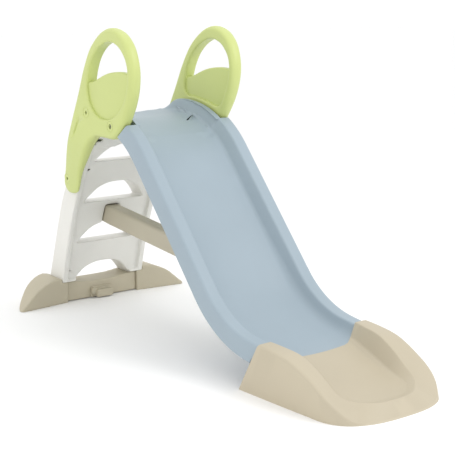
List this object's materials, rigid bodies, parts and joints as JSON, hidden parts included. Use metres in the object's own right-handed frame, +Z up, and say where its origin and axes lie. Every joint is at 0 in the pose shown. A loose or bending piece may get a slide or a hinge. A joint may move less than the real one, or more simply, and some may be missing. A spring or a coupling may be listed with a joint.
{
  "type": "toddler slide",
  "caption": "Free-standing toddler slide: a trough-shaped chute with a low landing, on a stepped ladder with two loop handles that folds in under the chute, held open by a brace",
  "frame": {"origin": "on the floor, under the middle of the whole length and width", "axes": "+X is the way a child slides, from the ladder to the landing; +Y is to that child's left; +Z is up"},
  "size_m": [1.716, 0.71, 1.0224],
  "materials": {
    "chute_blue": "fine satin, moulded",
    "landing_sand": "fine satin, moulded",
    "ladder_white": "fine satin, blow-moulded",
    "handle_green": "satin, blow-moulded",
    "base_taupe": "fine matt, moulded",
    "brace_taupe": "fine matt, moulded",
    "insert_nylon": "plain",
    "screw_steel": "zinc plated"
  },
  "bodies": {
    "slide": {"chute": "chute_blue", "landing": "landing_sand", "landing_screws": "screw_steel", "pivot_insert_left": "insert_nylon", "pivot_insert_right": "insert_nylon", "pivot_bolt_left": "screw_steel", "pivot_bolt_right": "screw_steel", "brace_catch_pin": "screw_steel"},
    "ladder": {"ladder": "ladder_white", "handle_left": "handle_green", "handle_right": "handle_green", "handle_screws": "screw_steel", "leg_screws": "screw_steel", "foot_left": "base_taupe", "foot_right": "base_taupe", "foot_crossbar": "base_taupe", "base_screws": "screw_steel", "hose_clip": "base_taupe", "brace_hinge_pin": "screw_steel"},
    "brace": {"brace": "brace_taupe"}
  },
  "joints": [
    {"name": "ladder_fold", "type": "hinge", "parent": "slide", "child": "ladder", "pos_m": [-0.297, 0, 0.703], "axis": [0, -1, 0], "range_deg": [0, 50]},
    {"name": "brace_swing", "type": "hinge", "parent": "ladder", "child": "brace", "pos_m": [-0.704, 0, 0.338], "axis": [0, -1, 0], "range_deg": [-64, 0]}
  ],
  "couplings": [
    {"joint": "brace_swing", "follows": "ladder_fold", "ratio": -1.28}
  ]
}
